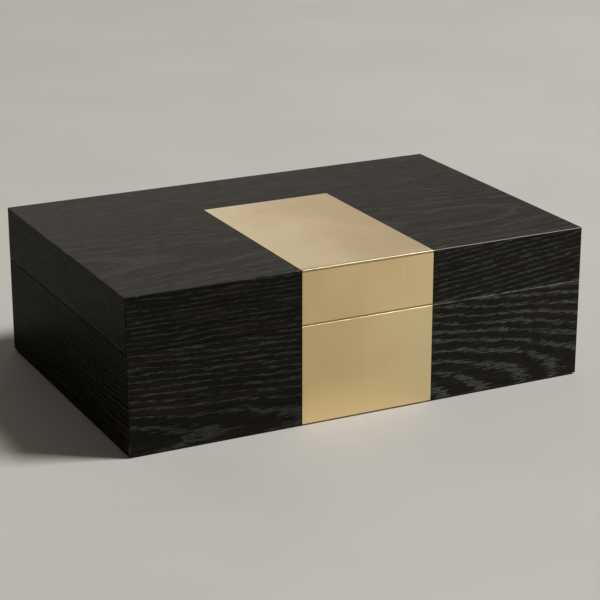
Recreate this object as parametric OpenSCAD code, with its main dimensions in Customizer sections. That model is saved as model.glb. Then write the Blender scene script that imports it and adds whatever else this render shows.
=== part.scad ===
// Inlaid wooden box: a veneered base and a hinged lid, crossed at the front by a brass inlay.
// Millimetres. The origin is the centre of the felt underside, +X runs to the right, +Y to the back
// and +Z up. The lid is drawn closed.

/* [Box] */
// Width over the veneer
box_w = 280; // [220:1:400]
// Depth over the veneer, front to back
box_d = 185; // [150:1:300]
// Height of the base, from its bottom edge to its rim
base_h = 56.6; // [40:0.1:120]
// Height of the lid, from its rim to its top
lid_h = 31.5; // [24:0.1:60]
// Gap between the two rims when the lid is closed
rim_gap = 0.4; // [0.2:0.1:0.8]
// Width of the eased arris on every outer edge
arris = 0.5; // [0.2:0.1:0.5]
// Radius of the two buffers on the front rim
buffer_r = 3; // [2:0.5:3.5]
// Distance from the box's sides to the middle of the buffers
buffer_inset = 15; // [12:1:40]
// Clearance between the buffers and the closed lid
buffer_play = 0.05; // [0.02:0.01:0.1]

/* [Boards] */
// Thickness of the core boards of the walls
core_t = 9; // [8:0.5:14]
// Thickness of the face and rim veneers
veneer_t = 0.6; // [0.6:0.1:0.9]
// Thickness of the bottom panel
bottom_t = 5; // [3:0.5:8]
// Thickness of the lid's top panel
top_t = 6; // [4:0.5:8]
// Width of the rebates that hold the bottom and top panels
rebate_w = 4; // [2:0.5:5]
// Thickness of the hidden splines in the mitres
spline_t = 2; // [1:0.5:3]
// Width of the hidden splines, across the mitre
spline_w = 6; // [4:0.5:7]
// Distance from a spline's middle to the inside of each wall
spline_inset = 4; // [3.5:0.1:4.5]
// Distance from a spline's end to the rim strip or the panel
spline_stop = 3; // [2:0.5:4]
// Clearance of the splines in their slots
spline_fit = 0.05; // [0.02:0.01:0.1]

/* [Inlay] */
// Width of the brass inlay
inlay_w = 80.8; // [40:0.1:120]
// Distance of the inlay's centre line to the right of the box's centre
inlay_shift = 2; // [-20:0.5:20]
// Length of the inlay on the lid's top, from the front face
inlay_top = 128.5; // [40:0.5:140]
// Thickness of the brass sheet
inlay_t = 1; // [0.8:0.1:2]
// Outer radius of the fold along the lid's front edge
fold_r = 0.4; // [0.3:0.1:1]
// Clearance round the inlay in its recess
inlay_fit = 0.12; // [0.05:0.01:0.3]

/* [Lining] */
// Thickness of the liner boards
liner_t = 2.5; // [2:0.5:4]
// Height of the lip that the base's liner makes above the rim
lip_h = 5; // [3:0.5:8]
// Gap between the lip and the lid's walls
lip_relief = 0.5; // [0.3:0.1:0.6]
// Radius of the rounded edges of the lip and of the lid's liner
lip_r = 0.6; // [0.2:0.1:0.7]
// Gap between the top of the lip and the lid's liner
lip_gap = 1; // [0.5:0.1:3]
// Thickness of the padded floor
floor_pad_t = 3; // [2:0.5:6]
// Thickness of the pad under the lid
lid_pad_t = 4; // [2:0.5:6]
// Clearance round the two pads
pad_fit = 0.3; // [0.1:0.1:0.6]
// Thickness of the felt under the base
felt_t = 0.8; // [0.5:0.1:2]
// Distance of the felt's edge from the box's sides
felt_inset = 3; // [1:0.5:10]

/* [Hinges] */
// Distance from each side of the box to the middle of its hinge
hinge_inset = 50; // [38:1:75]
// Length of each hinge
hinge_len = 38; // [30:1:50]
// Depth of the leaves in the wall, from the back face
leaf_reach = 7; // [6:0.1:7.4]
// Radius of the barrel
barrel_r = 2.5; // [2.2:0.1:3.2]
// Gap between the barrel's leaf ends and the back face
barrel_gap = 0.25; // [0.2:0.05:1]
// Radius of the pin
pin_r = 1; // [0.8:0.1:1.2]
// Running clearance of the pin in the lid's knuckles
pin_fit = 0.05; // [0.02:0.01:0.1]
// Number of knuckles in each hinge, an odd number
knuckles = 5; // [3:2:7]
// Gap between neighbouring knuckles
knuckle_gap = 0.15; // [0.1:0.05:0.3]
// Angle at which the square knuckles stop the lid
stop_angle = 95; // [90:1:105]
// Clearance round each leaf in its seat
seat_fit = 0.1; // [0.05:0.05:0.3]

/* [Screws] */
// Number of screws in each leaf
leaf_screws = 3; // [2:1:4]
// Length of the screws
screw_len = 10; // [7:0.5:14]
// Radius of the screws' shanks
screw_r = 1; // [0.8:0.1:1.2]
// Radius of the countersunk heads
head_r = 2; // [1.8:0.1:2.4]
// Height of the countersunk heads
head_h = 1.2; // [1:0.1:1.6]
// Width of the slot in the heads
slot_w = 0.5; // [0.4:0.1:0.8]
// Depth of the slot in the heads
slot_depth = 0.5; // [0.3:0.1:0.7]
// Clearance of the screws in the leaves and the boards
screw_fit = 0.05; // [0.02:0.01:0.1]

/* [Hidden] */

$fn = 64;

// The four sides of a frame, each a quarter turn on from the one before
SIDES = ["front", "right", "back", "left"];

// Overshoot of a cut past the face that it opens
over = 1;

oak = "#26231f";
core_black = "#3b342d";
brass = "#c6a866";
suede = "#8c8071";
felt = "#1b1b1c";
birch = "#c9ad82";
rubber = "#2b2b2b";

// Plans of the core, of the space inside the walls and of the space inside the liners
box_size = [box_w, box_d];
core_size = inset(box_size, veneer_t);
inner_size = inset(core_size, core_t);
rebate_size = inset(inner_size, -rebate_w);
lined_size = inset(inner_size, liner_t);

// Heights, from the felt's underside
base_z0 = felt_t;
base_z1 = base_z0 + base_h;
lid_z0 = base_z1 + rim_gap;
lid_z1 = lid_z0 + lid_h;
base_core_z1 = base_z1 - veneer_t;
lid_core_z0 = lid_z0 + veneer_t;
lid_core_z1 = lid_z1 - veneer_t;
floor_z = base_z0 + bottom_t;
ceiling_z = lid_core_z1 - top_t;
lip_z = base_z1 + lip_h;

// Side faces of the inlay and of its recess
inlay_x0 = inlay_shift - inlay_w / 2;
inlay_x1 = inlay_shift + inlay_w / 2;
recess_x0 = inlay_x0 - inlay_fit;
recess_x1 = inlay_x1 + inlay_fit;

// Stop hinge: each knuckle has a square corner, at 45 degrees and sqrt(2) barrel radii from the pin, that
// meets the end of the other leaf at the stop angle. stop_touch is what is left between them there, and
// stop_clear is how far the leaf's end stands off the barrel.
stop_touch = 0.02;
stop_clear = barrel_r * (sqrt(2) * cos(135 - stop_angle) - 1) + stop_touch;
leaf_t = barrel_r - rim_gap / 2;
pin_back = barrel_r + stop_clear + barrel_gap;
pin_z = base_z1 + rim_gap / 2;
knuckle_len = hinge_len / knuckles;
base_knuckles = [0:2:knuckles - 1];
lid_knuckles = [1:2:knuckles - 2];

// Pointed end of each screw
screw_tip_h = 2 * screw_r;
screw_tip_r = screw_r / 10;

// ---------------------------------------------------------------- shared shapes

// Plan size whose edges lie t inside those of size
function inset(size, t) = size - 2 * t * [1, 1];

// One side of a frame of thickness t inside the plan size, with mitred ends. The children are the side's
// section, drawn with x from its outer face inwards and y up.
module mitred_side(side, size, t) {
    k = search([side], SIDES)[0];
    run = k % 2 == 0 ? size.x : size.y;
    reach = (k % 2 == 0 ? size.y : size.x) / 2;
    rotate(90 * k)
        translate([-run / 2, -reach, 0])
            intersection() {
                rotate([90, 0, 90]) linear_extrude(run) children();
                linear_extrude(lid_z1) polygon([[0, 0], [run, 0], [run - t, t], [t, t]]);
            }
}

// Section of a board of thickness t from height z0 to z1
module board_section(t, z0, z1) translate([0, z0]) square([t, z1 - z0]);

// Block of the plan size, centred on the box, from height z0 to z1
module slab(size, z0, z1)
    translate([-size.x / 2, -size.y / 2, z0]) cube([size.x, size.y, z1 - z0]);

// Rectangle about the origin with its corners cut by the arris
module eased_rectangle(a, b)
    polygon([
        for (s = [[1, 1], [-1, 1], [-1, -1], [1, -1]])
            for (cut = s.x * s.y > 0 ? [[0, arris], [arris, 0]] : [[arris, 0], [0, arris]])
                [s.x * (a / 2 - cut.x), s.y * (b / 2 - cut.y)]
    ]);

// The box's outside from z0 to z1 with every outer edge eased
module eased_outside(z0, z1) {
    h = z1 - z0;
    intersection() {
        translate([0, 0, z0]) linear_extrude(h) eased_rectangle(box_w, box_d);
        translate([0, box_d / 2, z0 + h / 2])
            rotate([90, 0, 0]) linear_extrude(box_d) eased_rectangle(box_w, h);
        translate([-box_w / 2, 0, z0 + h / 2])
            rotate([90, 0, 90]) linear_extrude(box_w) eased_rectangle(box_d, h);
    }
}

// Splines across the four mitres, from z0 to z1, grown by fit where they are cut from the boards
module mitre_splines(z0, z1, fit = 0) {
    middle = inset(inner_size, -spline_inset) / 2;
    for (x = [-1, 1], y = [-1, 1])
        translate([x * middle.x, y * middle.y, z0 - fit])
            rotate(45 * x * y)
                translate([-spline_t / 2 - fit, -spline_w / 2 - fit, 0])
                    cube([spline_t + 2 * fit, spline_w + 2 * fit, z1 - z0 + 2 * fit]);
}

module base_splines(fit = 0)
    mitre_splines(floor_z + spline_stop, base_core_z1 - spline_stop, fit);

module lid_splines(fit = 0)
    mitre_splines(lid_core_z0 + spline_stop, ceiling_z - spline_stop, fit);

// ---------------------------------------------------------------- inlay

// Everything in front of the inlay's back face, over the inlay's width and its clearance
module front_recess()
    translate([recess_x0, -box_d / 2 - over, -over])
        cube([recess_x1 - recess_x0, inlay_t + over, lid_z1 + 2 * over]);

// Everything above the inlay's underside, over the inlay's length on the lid
module top_recess()
    translate([recess_x0, -box_d / 2 - over, lid_z1 - inlay_t])
        cube([recess_x1 - recess_x0, inlay_top + inlay_fit + over, inlay_t + over]);

// Runs a section, drawn with x from the front face backwards and y up from height z, along the inlay
module along_inlay(z)
    translate([inlay_x0, -box_d / 2, z]) rotate([90, 0, 90]) linear_extrude(inlay_w) children();

module base_inlay()
    color(brass)
        along_inlay(base_z0)
            polygon([
                [arris, 0], [inlay_t, 0], [inlay_t, base_h],
                [arris, base_h], [0, base_h - arris], [0, arris]
            ]);

// The lid's sheet is folded over the front edge and runs back along the top
module lid_inlay()
    color(brass)
        along_inlay(lid_z0)
            difference() {
                polygon([
                    [arris, 0], [inlay_t, 0], [inlay_t, lid_h - inlay_t],
                    [inlay_top, lid_h - inlay_t], [inlay_top, lid_h],
                    [0, lid_h], [0, arris]
                ]);
                difference() {
                    translate([-over, lid_h - fold_r]) square(fold_r + over);
                    translate([fold_r, lid_h - fold_r]) circle(fold_r);
                }
            }

// ---------------------------------------------------------------- carcass

// Board of the base's wall, rebated for the bottom panel
module base_core(side)
    color(core_black)
        difference() {
            mitred_side(side, core_size, core_t)
                difference() {
                    board_section(core_t, base_z0, base_core_z1);
                    translate([core_t - rebate_w, 0]) board_section(rebate_w + over, 0, floor_z);
                }
            base_splines(spline_fit);
            if (side == "front") front_recess();
            if (side == "back") base_hinge_seats();
        }

// Board of the lid's wall, rebated for the top panel
module lid_core(side)
    color(core_black)
        difference() {
            mitred_side(side, core_size, core_t)
                difference() {
                    board_section(core_t, lid_core_z0, lid_core_z1);
                    translate([core_t - rebate_w, 0]) board_section(rebate_w + over, ceiling_z, lid_z1);
                }
            lid_splines(spline_fit);
            if (side == "front") {
                front_recess();
                top_recess();
            }
            if (side == "back") lid_hinge_seats();
        }

module base_bottom_panel() color(core_black) slab(rebate_size, base_z0, floor_z);

module lid_top_panel()
    color(core_black)
        difference() {
            slab(rebate_size, ceiling_z, lid_core_z1);
            top_recess();
        }

module base_mitre_splines() color(birch) base_splines();

module lid_mitre_splines() color(birch) lid_splines();

// ---------------------------------------------------------------- veneers

// Everything to the left of x, or everything to the right of it
module left_of(x) translate([x - 2 * box_w, -box_d, -over]) cube([2 * box_w, 2 * box_d, lid_z1 + 2 * over]);

module right_of(x) mirror([1, 0, 0]) left_of(-x);

// Face veneer of one side of the base, from its bottom edge to its rim
module base_veneer(side)
    color(oak)
        difference() {
            intersection() {
                mitred_side(side, box_size, veneer_t) board_section(veneer_t, base_z0, base_z1);
                eased_outside(base_z0, base_z1);
            }
            if (side == "back") base_hinge_seats();
        }

// Face veneer of one side of the lid, from its rim to the underside of the top veneer
module lid_veneer(side)
    color(oak)
        difference() {
            intersection() {
                mitred_side(side, box_size, veneer_t) board_section(veneer_t, lid_z0, lid_core_z1);
                eased_outside(lid_z0, lid_z1);
            }
            if (side == "back") lid_hinge_seats();
        }

// The front veneers end at the inlay's recess
module base_front_left_veneer()
    difference() {
        base_veneer("front");
        right_of(recess_x0);
    }

module base_front_right_veneer()
    difference() {
        base_veneer("front");
        left_of(recess_x1);
    }

module lid_front_left_veneer()
    difference() {
        lid_veneer("front");
        right_of(recess_x0);
    }

module lid_front_right_veneer()
    difference() {
        lid_veneer("front");
        left_of(recess_x1);
    }

module lid_top_veneer()
    color(oak)
        difference() {
            intersection() {
                slab(box_size, lid_core_z1, lid_z1);
                eased_outside(lid_z0, lid_z1);
            }
            top_recess();
        }

// Strips that cover the boards' edges on the two rims
module base_rim(side)
    color(oak)
        difference() {
            mitred_side(side, core_size, core_t) board_section(core_t, base_core_z1, base_z1);
            if (side == "front") front_recess();
            if (side == "back") base_hinge_seats();
        }

module lid_rim(side)
    color(oak)
        difference() {
            mitred_side(side, core_size, core_t) board_section(core_t, lid_z0, lid_core_z0);
            if (side == "front") front_recess();
            if (side == "back") lid_hinge_seats();
        }

// Buffers that the closed lid rests on, in the middle of the front rim
module rim_buffers()
    color(rubber)
        for (side = [-1, 1])
            translate([side * (box_w / 2 - buffer_inset), (core_t - core_size.y) / 2, base_z1])
                cylinder(h = rim_gap - buffer_play, r = buffer_r);

// ---------------------------------------------------------------- lining

// Section of width w and height h, with its two upper corners rounded
module rounded_board_section(w, h) {
    square([w, h - lip_r]);
    translate([lip_r, 0]) square([w - 2 * lip_r, h]);
    for (x = [lip_r, w - lip_r]) translate([x, h - lip_r]) circle(lip_r);
}

// The base's liner stands above the rim as a rounded lip, set in from the wall, that locates the lid
module base_liner(side)
    color(suede)
        mitred_side(side, inner_size, liner_t) {
            board_section(liner_t, floor_z, base_z1);
            translate([lip_relief, floor_z]) rounded_board_section(liner_t - lip_relief, lip_z - floor_z);
        }

module lid_liner(side)
    color(suede)
        mitred_side(side, inner_size, liner_t)
            translate([0, ceiling_z])
                mirror([0, 1]) rounded_board_section(liner_t, ceiling_z - lip_z - lip_gap);

module base_floor_pad()
    color(suede) slab(inset(lined_size, pad_fit), floor_z, floor_z + floor_pad_t);

module lid_pad()
    color(suede) slab(inset(lined_size, pad_fit), ceiling_z - lid_pad_t, ceiling_z);

module base_felt()
    color(felt) slab(inset(box_size, felt_inset), 0, felt_t);

// ---------------------------------------------------------------- hinges

// Places children at the pin's middle in one hinge: side is -1 on the left and 1 on the right
module at_hinge(side)
    translate([side * (box_w / 2 - hinge_inset), box_d / 2 + pin_back, pin_z]) children();

// Section of a leaf, drawn with x to the back and y up: it runs from its edge in the wall to the pin, round
// the pin, and out to the square corner that is the stop
module leaf_section(bore_r)
    difference() {
        union() {
            translate([-pin_back - leaf_reach, -barrel_r]) square([pin_back + leaf_reach, leaf_t]);
            circle(barrel_r);
            square(barrel_r);
        }
        circle(bore_r);
    }

// Space that knuckle i of the other leaf turns in
module knuckle_room(i)
    translate([i * knuckle_len - (hinge_len + knuckle_gap) / 2, -barrel_r - stop_clear, -barrel_r - over])
        cube([knuckle_len + knuckle_gap, 2 * barrel_r + stop_clear + over, 2 * (barrel_r + over)]);

// Places children on the leaf's open face at each screw
module at_leaf_screws() {
    pitch = hinge_len / leaf_screws;
    for (i = [0:leaf_screws - 1])
        translate([(i + 0.5) * pitch - hinge_len / 2, -pin_back - leaf_reach / 2, -rim_gap / 2]) children();
}

// Leaf of the base, below the pin: the lid's leaf is its mirror image with the other knuckles
module hinge_leaf(other_knuckles, bore_r)
    color(brass)
        difference() {
            translate([-hinge_len / 2, 0, 0])
                rotate([90, 0, 90]) linear_extrude(hinge_len) leaf_section(bore_r);
            for (i = other_knuckles) knuckle_room(i);
            at_leaf_screws() screw_hole();
        }

// Half outline of a countersunk wood screw below its flat head, grown by fit
function screw_outline(fit) = [
    [head_r + fit, 0], [screw_r + fit, -head_h], [screw_r + fit, screw_tip_h - screw_len],
    [screw_tip_r + fit, -screw_len - fit], [0, -screw_len - fit]
];

module screw()
    color(brass)
        difference() {
            rotate_extrude() polygon(concat([[0, 0]], screw_outline(0)));
            translate([-head_r - over, -slot_w / 2, -slot_depth])
                cube([2 * (head_r + over), slot_w, slot_depth + over]);
        }

// Hole of a screw through a leaf and into a board
module screw_hole()
    rotate_extrude()
        polygon(concat([[0, over], [head_r + screw_fit, over]], screw_outline(screw_fit)));

// Seats of the leaves in the base's back wall, with the screws' holes
module base_hinge_seats()
    for (side = [-1, 1]) at_hinge(side) leaf_seat();

module lid_hinge_seats()
    for (side = [-1, 1]) at_hinge(side) mirror([0, 0, 1]) leaf_seat();

module leaf_seat() {
    translate([-hinge_len / 2 - seat_fit, -pin_back - leaf_reach - seat_fit, -barrel_r])
        cube([hinge_len + 2 * seat_fit, leaf_reach + seat_fit + over, barrel_r + over]);
    at_leaf_screws() screw_hole();
}

module hinge_base_leaf(side) at_hinge(side) hinge_leaf(lid_knuckles, pin_r);

module hinge_lid_leaf(side) at_hinge(side) mirror([0, 0, 1]) hinge_leaf(base_knuckles, pin_r + pin_fit);

module hinge_pin(side)
    color(brass)
        at_hinge(side)
            translate([-hinge_len / 2, 0, 0]) rotate([0, 90, 0]) cylinder(h = hinge_len, r = pin_r);

module base_hinge_screws()
    for (side = [-1, 1]) at_hinge(side) at_leaf_screws() screw();

module lid_hinge_screws()
    for (side = [-1, 1]) at_hinge(side) mirror([0, 0, 1]) at_leaf_screws() screw();

// ---------------------------------------------------------------- nodes

base_core("front");  // base_front_core
base_core("right");  // base_right_core
base_core("back");  // base_back_core
base_core("left");  // base_left_core
base_bottom_panel();
base_mitre_splines();
base_front_left_veneer();
base_front_right_veneer();
base_veneer("right");  // base_right_veneer
base_veneer("back");  // base_back_veneer
base_veneer("left");  // base_left_veneer
base_rim("front");  // base_front_rim
base_rim("right");  // base_right_rim
base_rim("back");  // base_back_rim
base_rim("left");  // base_left_rim
rim_buffers();
base_inlay();
base_liner("front");  // base_front_liner
base_liner("right");  // base_right_liner
base_liner("back");  // base_back_liner
base_liner("left");  // base_left_liner
base_floor_pad();
base_felt();
lid_core("front");  // lid_front_core
lid_core("right");  // lid_right_core
lid_core("back");  // lid_back_core
lid_core("left");  // lid_left_core
lid_top_panel();
lid_mitre_splines();
lid_front_left_veneer();
lid_front_right_veneer();
lid_veneer("right");  // lid_right_veneer
lid_veneer("back");  // lid_back_veneer
lid_veneer("left");  // lid_left_veneer
lid_top_veneer();
lid_rim("front");  // lid_front_rim
lid_rim("right");  // lid_right_rim
lid_rim("back");  // lid_back_rim
lid_rim("left");  // lid_left_rim
lid_inlay();
lid_liner("front");  // lid_front_liner
lid_liner("right");  // lid_right_liner
lid_liner("back");  // lid_back_liner
lid_liner("left");  // lid_left_liner
lid_pad();
hinge_base_leaf(-1);  // left_hinge_base_leaf
hinge_lid_leaf(-1);  // left_hinge_lid_leaf
hinge_pin(-1);  // left_hinge_pin
hinge_base_leaf(1);  // right_hinge_base_leaf
hinge_lid_leaf(1);  // right_hinge_lid_leaf
hinge_pin(1);  // right_hinge_pin
base_hinge_screws();
lid_hinge_screws();
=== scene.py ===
"""Dresses the inlaid wooden box and puts it in its studio.

Everything is in metres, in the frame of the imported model: the origin is under the middle of the
box, +X runs to the right, +Y to the back and +Z up, and the lid is closed. The textures count in
millimetres.
"""

from __future__ import annotations

import logging
import math
from dataclasses import dataclass, field, replace
from enum import Enum
from functools import reduce
from operator import add
from typing import Iterable, NamedTuple, Sequence, TypeAlias

import bmesh
import bpy
from mathutils import Matrix, Vector


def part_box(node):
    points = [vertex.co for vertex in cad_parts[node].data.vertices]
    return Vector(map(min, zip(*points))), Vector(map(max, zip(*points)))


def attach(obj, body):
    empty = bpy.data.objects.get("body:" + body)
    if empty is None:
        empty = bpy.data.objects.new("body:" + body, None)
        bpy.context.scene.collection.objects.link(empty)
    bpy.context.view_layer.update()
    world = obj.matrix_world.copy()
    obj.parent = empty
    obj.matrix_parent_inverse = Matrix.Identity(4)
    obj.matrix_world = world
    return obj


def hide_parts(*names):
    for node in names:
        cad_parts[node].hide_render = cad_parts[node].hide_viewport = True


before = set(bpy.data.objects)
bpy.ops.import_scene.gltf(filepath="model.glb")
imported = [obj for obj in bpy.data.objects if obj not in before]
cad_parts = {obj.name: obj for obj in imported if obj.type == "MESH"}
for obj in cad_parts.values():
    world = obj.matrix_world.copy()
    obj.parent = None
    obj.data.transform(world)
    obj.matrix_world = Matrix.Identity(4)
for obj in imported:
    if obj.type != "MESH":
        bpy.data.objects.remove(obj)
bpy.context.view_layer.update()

log = logging.getLogger("inlaid_box")

MM = 0.001
TINY = 1e-6  # distance below which two places are the same
ON_CUT = 1e-8  # distance below which a corner lies on a cut
COLOUR_A, COLOUR_B, COLOUR_OUT = 6, 7, 2  # the sockets of a mix node that take and give colours

Colour: TypeAlias = "tuple[float, float, float]"
Grain: TypeAlias = "tuple[float, float, float]"
Inputs: TypeAlias = "dict[int | str, object]"
Section: TypeAlias = "list[tuple[float, float]]"
Term: TypeAlias = "Signal | float"


def srgb(code: str) -> Colour:
    """Linear colour of a code such as "1a1815"."""
    parts = [int(code[i : i + 2], 16) / 255 for i in (0, 2, 4)]
    return tuple(c / 12.92 if c <= 0.04045 else ((c + 0.055) / 1.055) ** 2.4 for c in parts)


# ------------------------------------------------------------------------------------- materials

MOST = (0.3, 0.7)  # range that holds most values of a noise


def about(middle: float, changes: tuple[float, float]) -> tuple[float, float]:
    """A middle value with each of two changes added to it."""
    return middle + changes[0], middle + changes[1]


class Lie(Enum):
    """Which way a texture lies.

    Each value names the axes that the texture takes, or adds up, as along, across and through.
    """

    ALONG_X_UP_Z = ("X", "Z", "Y")
    ALONG_Y_UP_Z = ("Y", "Z", "X")
    ALONG_X_ACROSS_Y = ("X", "Y", "Z")
    ALONG_Y_ACROSS_X = ("Y", "X", "Z")
    OVER_FOLD = ("YZ", "X", "")


class Ramp(NamedTuple):
    """Smooth passage from low, where a number is start, to high, where it is end."""

    start: float
    end: float
    low: float = 0.0
    high: float = 1.0


@dataclass(frozen=True)
class Signal:
    """What comes out of a node, at each point: a number, a place, a colour or a shader.

    Attributes:
        graph: The graph that the node is in.
        socket: The socket that it comes out of.
    """

    graph: Graph
    socket: bpy.types.NodeSocket

    def __add__(self, other: Term) -> Signal:
        """This number plus another."""
        return self.graph.math("ADD", self, other)

    def __sub__(self, other: Term) -> Signal:
        """This number less another."""
        return self.graph.math("SUBTRACT", self, other)

    def __rsub__(self, other: float) -> Signal:
        """Another number less this one."""
        return self.graph.math("SUBTRACT", other, self)

    def __mul__(self, other: Term) -> Signal:
        """This number times another."""
        return self.graph.math("MULTIPLY", self, other)

    def __truediv__(self, other: Term) -> Signal:
        """This number divided by another."""
        return self.graph.math("DIVIDE", self, other)

    def __abs__(self) -> Signal:
        """This number without its sign."""
        return self.graph.math("ABSOLUTE", self)

    def root(self) -> Signal:
        """Its square root."""
        return self.graph.math("SQRT", self)

    def fraction(self) -> Signal:
        """How far it is past a whole number."""
        return self.graph.math("FRACT", self)

    def smaller(self, other: Signal) -> Signal:
        """The smaller of two numbers."""
        return self.graph.math("MINIMUM", self, other)

    def larger(self, other: Signal) -> Signal:
        """The larger of two numbers."""
        return self.graph.math("MAXIMUM", self, other)

    def parts(self) -> list[Signal]:
        """The three numbers of a place."""
        outputs = self.graph.node("ShaderNodeSeparateXYZ", {0: self}).outputs
        return [Signal(self.graph, output) for output in outputs]

    def noise(
        self, grain: Sequence[float], detail: float = 2.0, rough: float = 0.5, twist: float = 0.0
    ) -> Signal:
        """Reads smooth noise at this place.

        Args:
            grain: Size of its patches in the three directions, in millimetres.
            detail: Number of finer layers.
            rough: How strong the finer layers are.
            twist: How far the patches are distorted.

        Returns:
            The noise, which lies about 0.5.
        """
        pitch = tuple(1 / size for size in grain)
        scaled = self.graph.signal(
            "ShaderNodeVectorMath", {0: self, 1: pitch}, operation="MULTIPLY"
        )
        layers = {"Detail": detail, "Roughness": rough, "Distortion": twist}
        return self.graph.signal("ShaderNodeTexNoise", {"Vector": scaled, "Scale": 1.0, **layers})

    def step(self, start: Term, end: Term, low: float = 0.0, high: float = 1.0) -> Signal:
        """Goes smoothly from low, where this number is start, to high, where it is end."""
        ends = {"From Min": start, "From Max": end, "To Min": low, "To Max": high}
        return self.graph.signal(
            "ShaderNodeMapRange", {"Value": self, **ends}, interpolation_type="SMOOTHSTEP"
        )

    def blend(self, a: Signal | Colour, b: Signal | Colour) -> Signal:
        """Colour between a, where this share is 0, and b, where it is 1."""
        ends = [end if isinstance(end, Signal) else (*end, 1.0) for end in (a, b)]
        inputs = {0: self, COLOUR_A: ends[0], COLOUR_B: ends[1]}
        return self.graph.signal("ShaderNodeMix", inputs, output=COLOUR_OUT, data_type="RGBA")

    def bump(self, depth: float) -> Signal:
        """Normal of a surface that this height, from 0 to 1, dents by a depth in millimetres."""
        inputs = {"Height": self, "Distance": depth * MM, "Strength": 1.0}
        return self.graph.signal("ShaderNodeBump", inputs)


class Graph:
    """The nodes of one material, or of the world.

    Attributes:
        owner: The material or the world.
        tree: Its node tree.
    """

    def __init__(self, owner: bpy.types.Material | bpy.types.World) -> None:
        """Starts without nodes.

        Args:
            owner: The material or the world.
        """
        owner.use_nodes = True
        self.owner = owner
        self.tree = owner.node_tree
        self.tree.nodes.clear()

    def node(
        self, kind: str, inputs: Inputs | None = None, **settings: object
    ) -> bpy.types.Node:
        """Adds a node.

        Args:
            kind: The node's type.
            inputs: Socket names or numbers, each with a value or with the signal that feeds it.
            **settings: The node's own settings.

        Returns:
            The node.
        """
        node = self.tree.nodes.new(kind)
        for name, value in settings.items():
            setattr(node, name, value)
        for name, value in (inputs or {}).items():
            if isinstance(value, Signal):
                self.tree.links.new(value.socket, node.inputs[name])
            else:
                node.inputs[name].default_value = value
        return node

    def signal(
        self, kind: str, inputs: Inputs | None = None, output: int | str = 0, **settings: object
    ) -> Signal:
        """What comes out of a new node, at the output that has this name or number."""
        return Signal(self, self.node(kind, inputs, **settings).outputs[output])

    def math(self, operation: str, a: Term, b: Term = 0.0) -> Signal:
        """Result of an operation on one or two numbers."""
        return self.signal("ShaderNodeMath", {0: a, 1: b}, operation=operation)

    def place(self, lie: Lie) -> Signal:
        """Works out where a point is.

        Args:
            lie: How the texture lies that is read there.

        Returns:
            The place along, across and through the texture, in millimetres.
        """
        point = self.signal("ShaderNodeTexCoord", output="Object")
        in_mm = self.signal(
            "ShaderNodeVectorMath", {0: point, "Scale": 1 / MM}, operation="SCALE"
        )
        parts = dict(zip("XYZ", in_mm.parts()))
        ways = {
            i: reduce(add, (parts[axis] for axis in axes))
            for i, axes in enumerate(lie.value)
            if axes
        }
        return self.signal("ShaderNodeCombineXYZ", ways)


@dataclass(frozen=True)
class Finish:
    """How a surface looks.

    Attributes:
        name: Name of its material.
        lie: Which way its texture lies.
    """

    name: str
    lie: Lie

    def material(self) -> bpy.types.Material:
        """Makes the material.

        Returns:
            The material.
        """
        graph = Graph(bpy.data.materials.new(self.name))
        shader = graph.signal("ShaderNodeBsdfPrincipled", self.look(graph.place(self.lie)))
        graph.node("ShaderNodeOutputMaterial", {0: shader})
        return graph.owner

    def look(self, place: Signal) -> Inputs:
        """Works out the inputs of the surface's shader, as each finish does in its own way.

        Args:
            place: Where a point is on the texture.

        Returns:
            The inputs by their names.
        """
        raise NotImplementedError


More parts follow.
